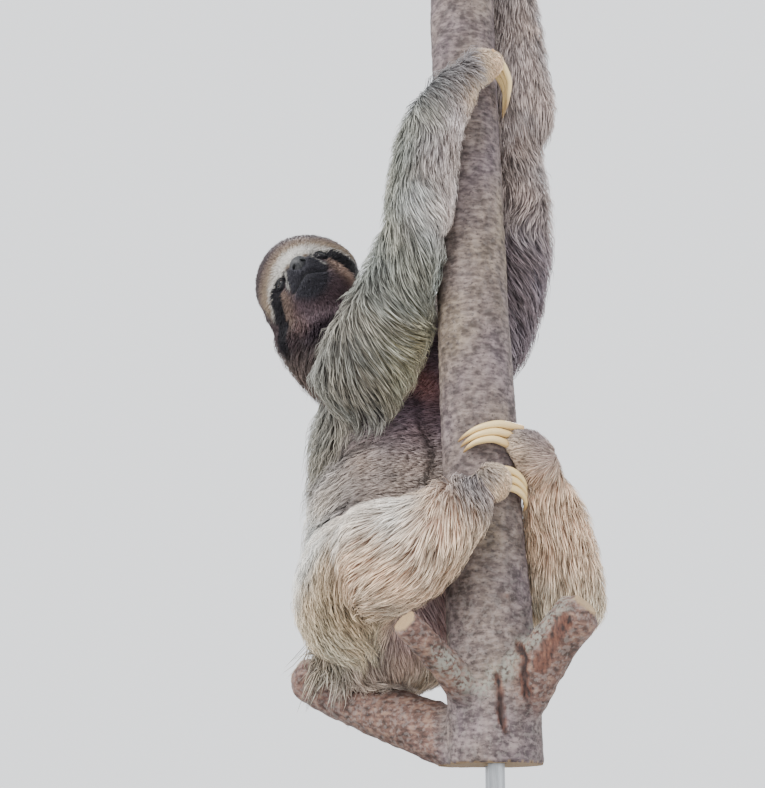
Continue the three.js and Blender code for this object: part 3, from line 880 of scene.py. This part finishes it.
# the marks of the face: a pale band over the brow, a dark stripe through each eye, tan cheeks below the
# stripes, a slate muzzle and a brown chin and throat, with painted light on the left cheek and a painted
# highlight beside the nose
CROWN_FUR, BAND, BAND_EDGE, STRIPE, CHEEK, MUZZLE, CHIN, JOWL, THROAT = map(linear, (
    0x46373B, 0xE8E4DE, 0xA08D79, 0x18151E, 0x8A766C, 0x414049, 0x736067, 0x7A6260, 0x3A2E37))
PAINTED_GLEAM_LINE = ((13, -7), (17, -12), (20, -19))
STRIPE_LINE = np.array(((17, -7.2), (25, -6), (33.5, -11.2), (43, -22.5), (51, -33), (58, -46)), float)


def face_colour(local):
    """The colour of the head's fur at each place, and how much it counts there."""
    aside, up = np.abs(local[:, 1]), local[:, 2]
    rough = np.stack((wander(local, 9, 41), wander(local, 5, 42)), 1)
    flat = np.stack((aside, up), 1) + 1.2 * rough
    away, along = line_distance(flat, STRIPE_LINE)
    stripe_at = np.interp(flat[:, 0], STRIPE_LINE[:, 0], STRIPE_LINE[:, 1])
    over = flat[:, 1] - stripe_at  # above the stripe's own line
    over_band = flat[:, 1] - (29 - 0.0085 * flat[:, 0] ** 2)
    half = 3.7 + 3.4 * smooth(along, 0.02, 0.25)
    colour = np.tile(CHIN, (len(local), 1))

    def paint(share, tone):
        nonlocal colour
        colour = colour * (1 - share[:, None]) + tone * share[:, None]

    paint(smooth(aside, 20, 34) * smooth(up, -70, -50), JOWL)
    paint(smooth(up, -44, -64), THROAT)
    paint(smooth(over, -27, -14) * smooth(over, 0, -3) * smooth(aside, 18, 27) * smooth(up, -62, -44), CHEEK)
    # painted light: on the head's left side the cheek below the stripe is painted three times as bright, to
    # lift the shadow that falls on it
    paint(0.9 * smooth(over, -30, -16) * smooth(over, -4, -9) * smooth(local[:, 1], 25, 34), CHEEK * 3.0)
    paint(smooth(np.hypot(aside / 23, (up + 19) / 19), 1.15, 0.8), MUZZLE)
    fades = smooth(up, -38, -16)
    paint(smooth(over, -2.0, 2.0) * fades, BAND_EDGE)
    narrow = 1 - smooth(over, 10, 20) * smooth(aside, 16, 30)
    paint(smooth(over, 0.5, 3) * smooth(over_band, -9, -21) * narrow * fades, BAND)
    paint(0.55 * smooth(over_band, -13, -3), CROWN_FUR * 1.7)
    paint(smooth(over_band, -2, 5), CROWN_FUR)
    paint(smooth(local[:, 0], 20, 5) * smooth(aside, 32, 44), CROWN_FUR)
    paint(smooth(away - half, 0.9, -0.9), STRIPE)
    # a painted highlight: a pale gleam line beside the nose, below the inner end of each stripe
    paint(0.6 * smooth(line_distance(flat, PAINTED_GLEAM_LINE)[0], 2.0, 0.6), BAND)
    return colour, smooth(local[:, 0], -24, -4)


def coat_colours(rows, ways, part):
    """The colours at the roots and the tips of the hair that grows at each place."""
    shares = kinds_at(rows, ways, part)
    root, tip = (shares @ np.array([linear(kind[end]) for kind in KINDS.values()]) for end in (0, 1))
    head = on_parts(part, "head", "neck")
    local = in_head(rows)
    face, share = face_colour(local)
    share = (share * head * smooth(np.linalg.norm(local, axis=1), 88, 70))[:, None]
    patchy = 1 + 0.3 * wander(rows, 19, 60) + 0.3 * wander(rows, 7, 61)
    warmth = 0.08 * wander(rows, 30, 62)
    tint = patchy[:, None] * np.stack((1 + warmth, np.ones(len(rows)), 1 - warmth), 1)
    tint = tint * (1 - share) + share
    return ((root * (1 - share) + face * 0.62 * share) * tint,
            (tip * (1 - share) + face * share) * tint, shares)


rows, ways = places(skin), places(skin, "normal")
links = links_of(skin)
part = parts_at(rows + ways * 3)
local = in_head(rows)
root_colour, tip_colour, shares = coat_colours(rows, ways, part)
bare = nose_pad(local)
bare = np.maximum(bare, 0.75 * (ridge(mouth_gap(local), 1.3) * lips))
for side in (-1, 1):
    out, across, up, opening = eye_measures(local, side)
    bare = np.maximum(bare, smooth(opening, 1.5, 1.25) * (out > -6))
bare *= faced
hide_colour = 0.55 * root_colour + 0.45 * tip_colour
near_face = (smooth(local[:, 0], 0, 14) * faced)[:, None]
hide_colour = hide_colour * (1 - near_face) + tip_colour * near_face
noted(skin, "marks", hide_colour)
noted(skin, "bare", bare)
hide, tree, shader = finish("dyed_hide", 0.62)
short_hair = pattern(tree, 1.0, (1, 1, 2.5), 4)
coat_tone = mixed(tree, 1.0, noted_value(tree, "marks", "Color"),
                  ramp(tree, short_hair, (0.3, 0xA8A8A8), (0.7, 0xFFFFFF)), "MULTIPLY")
grains = pattern(tree, 0.9, detail=2, kind="ShaderNodeTexVoronoi", output="Distance")
leather = ramp(tree, grains, (0.0, 0x2B2D33), (0.7, 0x17181C))
coloured(tree, shader, mixed(tree, noted_value(tree, "bare"), coat_tone, leather))
tree.links.new(worked(tree, "SUBTRACT", 0.66, times(tree, noted_value(tree, "bare"), 0.3)),
               shader.inputs["Roughness"])
bumped(tree, shader, worked(tree, "ADD", short_hair, grains), 0.3, 0.5)
skin.data.materials.append(hide)
alone(skin)
bpy.ops.object.shade_smooth()
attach(skin, "root")
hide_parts(*FLESH)

# Claws: three long hooks on each hand and foot, of horn over a bone core, cream and worn smooth, each
# a little darker at its root and point. Each is set into the end of its finger.
CLAW_SETS = {  # root half width in the hook's plane and across it, the steps to the next, the middle curve
    "hand_right": (4.9, 4.1, (-2, 11.5, -1), (-1, 10, 0),
                   ((64, -84, 872), (73, -76, 866), (80, -67, 854), (80, -60, 841), (78, -54, 827))),
    "hand_left": (5.8, 4.8, (1, -2, -11.5), (0, 0, -10),
                  ((72, -60, 1035), (54, -77, 1041), (32, -82, 1041), (12, -74, 1033), (1, -60, 1022))),
    "foot_right": (4.9, 4.3, (0.5, 1, -8.9), (0, 1, -6.5),
                   ((62, -88, 436), (76, -80, 437), (86, -70, 433), (91, -60, 426), (90, -52, 417))),
    "foot_left": (5.0, 4.3, (-4, 0, -8.4), (2.5, -0.5, -5.5),
                  ((79, -71, 482), (63, -81, 484), (47, -83, 481), (36, -79, 476), (28, -73, 470))),
}
CLAW_RINGS, CLAW_ROUND = 30, 18
CLAW_SUNK = 6.0  # how far its root is set into the finger
POINT_FROM = 0.93  # how far along it the round point begins

horn, tree, shader = finish("worn_horn", 0.34, Coat_Weight=0.2, Coat_Roughness=0.3)
to_point, round_claw = noted_value(tree, "run"), noted_value(tree, "about")
tone = ramp(tree, to_point, (0.0, 0xB89468), (0.22, 0xD6B67E), (0.45, 0xE8D09A), (0.75, 0xE0C68E),
            (0.9, 0xAE9060), (1.0, 0x6A543A))
lines = tree.nodes.new("ShaderNodeCombineXYZ")
tree.links.new(times(tree, to_point, 3.0), lines.inputs["X"])
tree.links.new(times(tree, round_claw, 26.0), lines.inputs["Y"])
fibres = tree.nodes.new("ShaderNodeTexNoise")
fibres.inputs["Scale"].default_value = 1.0
fibres.inputs["Detail"].default_value = 4
tree.links.new(lines.outputs["Vector"], fibres.inputs["Vector"])
fibre_tone = ramp(tree, fibres.outputs["Fac"], (0.3, 0xD8BE98), (0.6, 0xFFFFFF))
coloured(tree, shader, mixed(tree, 0.55, tone, fibre_tone, "MULTIPLY"))
bumped(tree, shader, fibres.outputs["Fac"], 0.25, 0.4)


def curve_points(knots, shares):
    """Points on a smooth curve through the knots, at these shares of its length in knots."""
    knots = np.array(knots, float)
    padded = np.vstack((2 * knots[0] - knots[1], knots, 2 * knots[-1] - knots[-2]))
    at = np.clip(shares * (len(knots) - 1), 0, len(knots) - 1 - 1e-9)
    cell = at.astype(int)
    t = (at - cell)[:, None]
    a, b, c, d = (padded[cell + k] for k in range(4))
    square, cube = 2 * a - 5 * b + 4 * c - d, 3 * b - a - 3 * c + d
    return 0.5 * (2 * b + (c - a) * t + square * t ** 2 + cube * t ** 3)


def closed_mesh(name, rings):
    """A piece with rings of points joined in turn and a face at each end. rings is (ring, point, 3)."""
    count, around, _ = rings.shape
    number = np.arange(count * around).reshape(count, around)
    turned = np.roll(number, -1, axis=1)
    sides = np.stack((number[:-1], turned[:-1], turned[1:], number[1:]), -1).reshape(-1, 4)
    data = bpy.data.meshes.new(name)
    ends = [number[0, ::-1].tolist(), number[-1].tolist()]
    data.from_pydata((rings.reshape(-1, 3) * MM).tolist(), [], sides.tolist() + ends)
    made = placed(name, data)
    alone(made)
    edited(bpy.ops.mesh.select_all, action="SELECT")
    edited(bpy.ops.mesh.normals_make_consistent, inside=False)
    bpy.ops.object.shade_smooth_by_angle(angle=math.radians(50))
    return made


for paw, (root, flat, spread, gather, curve) in CLAW_SETS.items():
    curve = np.array(curve, float)
    inward = unit(curve[0] - curve[1]) * CLAW_SUNK
    across = unit(np.array(spread, float))
    for number in (-1, 0, 1):
        share = np.linspace(0, 1, len(curve))[:, None]
        knots = curve + number * (np.array(spread) * (1 - share) + np.array(gather) * share)
        knots = np.vstack((knots[0] + inward, knots))
        run = 1 - (1 - np.linspace(0, 1, CLAW_RINGS)) ** 1.25  # the rings lie closer towards the point
        line = curve_points(knots, run)
        forward = unit(np.gradient(line, axis=0))
        width_way = unit(across - forward * (forward @ across)[:, None])
        hook_way = np.cross(forward, width_way)
        bend = curve[0] + curve[-1] - 2 * curve[len(curve) // 2]
        hook_way *= -np.sign(hook_way[CLAW_RINGS // 2] @ bend)
        in_point = ((run - POINT_FROM) / (1 - POINT_FROM)).clip(0, 1)
        size = (1 - 0.8 * run ** 2) * np.sqrt(np.clip(1 - in_point ** 2, 0.02, 1))
        angle = np.linspace(0, 2 * math.pi, CLAW_ROUND, endpoint=False)
        over = np.sin(angle)
        belly_cut = np.where(over < 0, 0.8, 1.0)  # its underside is flatter than its back
        ring = (np.cos(angle)[None, :, None] * width_way[:, None, :] * flat
                + (over * belly_cut)[None, :, None] * hook_way[:, None, :] * root)
        rings = line[:, None, :] + ring * size[:, None, None]
        claw = closed_mesh(f"horn_claw_{paw}_{number + 2}", rings)
        noted(claw, "run", np.repeat(run, CLAW_ROUND))
        noted(claw, "about", np.tile(np.abs(np.cos(angle / 2)), CLAW_RINGS))
        claw.data.materials.append(horn)
        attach(claw, "root")
        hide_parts(f"claw_{paw}_{number + 2}")

# Coat: locks of coarse hair rooted in the hide, laid over each other and drawn together at their
# ends. They are long on the shoulders, back and rump and shortest on the face and the paws.
LONG_LOCK = {"steps": (0.0, 0.3, 0.66, 1.0), "girth": (0.8, 1.0, 0.72, 0.0), "tone": (0.0, 0.38, 0.8, 1.0),
             "uneven": 1.0}
SHORT_LOCK = {"steps": (0.0, 0.5, 1.0), "girth": (0.95, 0.85, 0.0), "tone": (0.0, 0.6, 1.0), "uneven": 0.4}
THINNEST, THICKER_BY = 0.44, 0.0195  # a lock's thickness: the least in mm, and the gain for each mm of length
DARK_LOCKS, DARK_TONE = 0.24, 0.48  # how many of the locks are dark, and how dark these are
PATCH = 0.003  # each lock's share of the unwrap, from side to side
ANKLE_RUFF = 5.0
HANGS = 0.9  # how much the hair that stands off the skin hangs down
SEED = 20
draw = np.random.RandomState(SEED)

skin.data.calc_loop_triangles()
corner = listed(skin.data.loop_triangles, "vertices", 3, np.int32)
skin_tree = BVHTree.FromPolygons([Vector(r) for r in rows.tolist()], corner.tolist())
corner_at = rows[corner]
tri_sides = corner_at[:, 1:] - corner_at[:, :1]
tri_area = np.linalg.norm(np.cross(tri_sides[:, 0], tri_sides[:, 1]), axis=1) / 2

kind_length = shares @ np.array([float(k[2]) for k in KINDS.values()])
head_here = on_parts(part, "head", "neck")
from_nose = np.linalg.norm(local - NOSE_AT, axis=1)
behind = smooth(local[:, 0], 0, -45)
head_length = 4.2 + 0.085 * np.clip(from_nose, 0, 150) + 10 * behind
head_share = head_here * smooth(np.linalg.norm(local, axis=1), 90, 68)
length = kind_length * (1 - head_share) + head_length * head_share
thick = THINNEST + THICKER_BY * length
belly = belly_side(rows, ways)
coat_depth = evened(with_torso(evened(depths_at(part), links, 14), part, belly), links, 8)
gap_depth = np.array([cad_tree.find_nearest(row)[3] for row in rows.tolist()])
coat_depth = np.minimum(coat_depth, np.maximum(evened(gap_depth, links, 3), 1.5))

PIECES = {  # how many locks each has, their shape, the parts it grows on and the axis it is unwrapped round
    "coat_face": (18600, SHORT_LOCK, ("head",), ((-127, 70, 620), (-127, 70, 745))),
    "coat_crown": (11600, LONG_LOCK, ("head", "neck"), ((-90, 95, 560), (-127, 70, 745))),
    "coat_chest_belly": (17000, SHORT_LOCK, ("torso",), ((-33, 78, 220), (-20, 74, 700))),
    "coat_back": (12000, LONG_LOCK, ("torso", "tail"), ((-33, 78, 220), (-20, 74, 700))),
    "coat_arm_right": (12200, LONG_LOCK, ("upper_arm_right", "forearm_right", "hand_right"),
                       ((-62, 30, 520), (60, -96, 880))),
    "coat_arm_left": (10800, LONG_LOCK, ("upper_arm_left", "forearm_left", "hand_left"),
                      ((60, 48, 560), (95, -10, 1060))),
    "coat_leg_right": (12300, LONG_LOCK, ("thigh_right", "shank_right", "foot_right"),
                       ((-80, 40, 330), (60, -95, 430))),
    "coat_leg_left": (10800, LONG_LOCK, ("thigh_left", "shank_left", "foot_left"),
                      ((120, 30, 290), (95, -60, 480))),
}


def triangle_mean(values):
    return values[corner].mean(axis=1)


centre_local = in_head(corner_at.mean(axis=1))
tri_part = part[corner[:, 0]]
face_tri = on_parts(tri_part, "head") & (centre_local[:, 0] > FACE_FROM)
belly_tri = on_parts(tri_part, "torso") & (triangle_mean(belly) > 0.35)
split_by = {"coat_face": face_tri, "coat_crown": ~face_tri,
            "coat_chest_belly": belly_tri, "coat_back": ~belly_tri}
tri_need = tri_area / (triangle_mean(length) * triangle_mean(thick)) * (1 - triangle_mean(bare)) ** 2
tri_need = np.where(triangle_mean(bare) > 0.5, 0, tri_need)
fur, tree, shader = finish("coarse_hair", 0.52, Specular_IOR_Level=0.35)
coloured(tree, shader, noted_value(tree, "coat", "Color"))


def traced(roots, root_ways, root_parts, reach, lift, steps):
    """The line of each lock, (lock, step, 3), and the skin's own way out under each of its points."""
    here, way_out, parts_now = roots.copy(), root_ways.copy(), root_parts
    line, outs = [roots - root_ways * 0.5], [root_ways]
    heading = lie_at(here, way_out, parts_now)
    for before, now in zip(steps[:-1], steps[1:]):
        step = (now - before) * reach
        aim = here + heading * step[:, None]
        landed = [skin_tree.find_nearest(row) for row in aim.tolist()]
        spot = np.array([tuple(hit[0]) for hit in landed])
        normal = np.array([tuple(hit[1]) for hit in landed])
        off = np.linalg.norm(spot - aim, axis=1)
        # where the skin ends or turns away under a lock, the lock leaves it, and hangs down
        free = (off > 0.45 * step + 3) | ((normal * way_out).sum(1) < 0.1)
        spot[free] = aim[free]
        normal[free] = way_out[free]
        way_out = unit(0.5 * way_out + normal)
        line.append(spot + way_out * (lift * smooth(now, 0.0, 0.75))[:, None])
        outs.append(way_out)
        turned = lie_at(spot, way_out, parts_now)
        heading = unit(0.55 * heading + 0.45 * turned)
        heading = unit(heading - way_out * (heading * way_out).sum(1, keepdims=True))
        heading[free] = unit(heading[free] + HANGS * DOWN)
        here = spot
    return np.stack(line, 1), np.stack(outs, 1)


def gathered(line, share, steps):
    """Draws the locks' ends towards those of a lock near by, so that they end in points."""
    leads = draw.choice(len(line), max(len(line) // 7, 1), replace=False)
    finder = kdtree.KDTree(len(leads))
    for number, lead in enumerate(leads):
        finder.insert(Vector(line[lead, 1]), number)
    finder.balance()
    lead = leads[[finder.find(row)[1] for row in line[:, 1].tolist()]]
    pull = share[:, None, None] * (np.array(steps) ** 1.4)[None, :, None]
    return line + (line[lead] - line) * pull, lead


def unwrapped(spots, ends):
    """Each place's spot on an unwrap of the skin round the axis between the two ends, from 0 to 1."""
    start, end = np.array(ends, float)
    axis = unit(end - start)
    side = unit(np.cross(axis, (0.3, 1.0, 0.2)))  # the seam lies on this side of it
    out = spots - start
    along = out @ axis
    angle = np.arctan2(out @ np.cross(axis, side), out @ side) / (2 * math.pi) + 0.5
    low, high = along.min(), along.max()
    return np.stack((angle, (along - low) / (high - low)), 1) * (1 - 2 * PATCH)


def locks(name, line, outs, girth, colours, wrap):
    """A piece with a three-sided tapering lock along each line, coloured from its root to its tip."""
    count, steps = line.shape[:2]
    tip = 3 * (steps - 1)
    forward = unit(np.gradient(line, axis=1))
    side = unit(np.cross(forward, outs))
    over = unit(np.cross(side, forward))
    half = girth[:, :, None] / 2
    rings = np.stack((line + side * half, line - side * half, line + over * half * 0.9), 2)
    spots = np.concatenate((rings[:, :-1].reshape(count, tip, 3), line[:, -1:]), 1)
    tones = np.concatenate((np.repeat(colours[:, :-1], 3, axis=1), colours[:, -1:]), 1)
    quads = [(3 * k + j, 3 * k + (j + 1) % 3, 3 * k + 3 + (j + 1) % 3, 3 * k + 3 + j)
             for k in range(steps - 2) for j in range(3)]
    tips = [(tip - 3 + j, tip - 3 + (j + 1) % 3, tip) for j in range(3)]
    one = [(0, 2, 1)] + quads + tips
    sizes = np.array([len(f) for f in one])
    corners_one = np.array([v for f in one for v in f])
    loops = (np.arange(count)[:, None] * (tip + 1) + corners_one[None]).ravel()
    starts = np.concatenate(((0,), np.cumsum(np.tile(sizes, count))[:-1]))
    data = bpy.data.meshes.new(name)
    data.vertices.add(count * (tip + 1))
    data.vertices.foreach_set("co", (spots.reshape(-1) * MM).astype(np.float32))
    data.loops.add(len(loops))
    data.loops.foreach_set("vertex_index", loops.astype(np.int32))
    data.polygons.add(count * len(one))
    data.polygons.foreach_set("loop_start", starts.astype(np.int32))
    data.polygons.foreach_set("use_smooth", np.ones(count * len(one), dtype=bool))
    data.update(calc_edges=True)
    data.validate()
    patch = np.array([(j / 2, k / steps) for k in range(steps - 1) for j in range(3)] + [(0.5, 1.0)]) * PATCH
    layer = data.uv_layers.new(name="OFBake")
    layer.data.foreach_set("uv", (wrap[:, None, :] + patch[corners_one][None]).astype(np.float32).ravel())
    made = placed(name, data)
    noted(made, "coat", tones.reshape(-1, 3))
    data.materials.append(fur)
    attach(made, "root")
    return made


for name, (count, lock, members, wrap) in PIECES.items():
    steps = np.array(lock["steps"])
    inside = on_parts(tri_part, *members) & split_by.get(name, True)
    need = tri_need * inside
    chosen = draw.choice(len(need), count, p=need / need.sum())
    mix = draw.dirichlet((1, 1, 1), count)
    spots = (corner_at[chosen] * mix[:, :, None]).sum(1)
    out = unit((ways[corner[chosen]] * mix[:, :, None]).sum(1))
    of_part = tri_part[chosen]
    reach = (length[corner[chosen]] * mix).sum(1) * draw.uniform(0.65, 1.2, count)
    girth = (thick[corner[chosen]] * mix).sum(1) * draw.uniform(0.7, 1.2, count)
    root, tip, grown = coat_colours(spots, out, of_part)
    lift = (coat_depth[corner[chosen]] * mix).sum(1) * np.clip(draw.normal(0.72, 0.25, count), 0.2, 1.15)
    lift += ANKLE_RUFF * grown[:, KIND_NAMES.index("ankle")]
    line, outs = traced(spots, out, of_part, reach, lift, steps)
    line, lead = gathered(line, draw.uniform(0.05, 0.75, count), steps)
    line += 0.05 * draw.normal(size=(count, 1, 3)) * (steps ** 1.3)[None, :, None] * reach[:, None, None]
    share = np.array(lock["tone"])[None, :, None]
    tones = root[:, None] * (1 - share) + tip[:, None] * share
    own = draw.uniform(0.72, 1.22, count) * draw.uniform(0.85, 1.12, count)[lead]
    own *= np.where(draw.uniform(size=count) < DARK_LOCKS, DARK_TONE, 1.0)
    own = own ** lock["uneven"] * (1 - CREASE_SHADE * crease_share(spots))
    tones = tones * own[:, None, None]
    girths = girth[:, None] * np.array(lock["girth"])
    piece = locks(name, line, outs, girths, tones, unwrapped(spots, wrap))

bpy.context.view_layer.update()
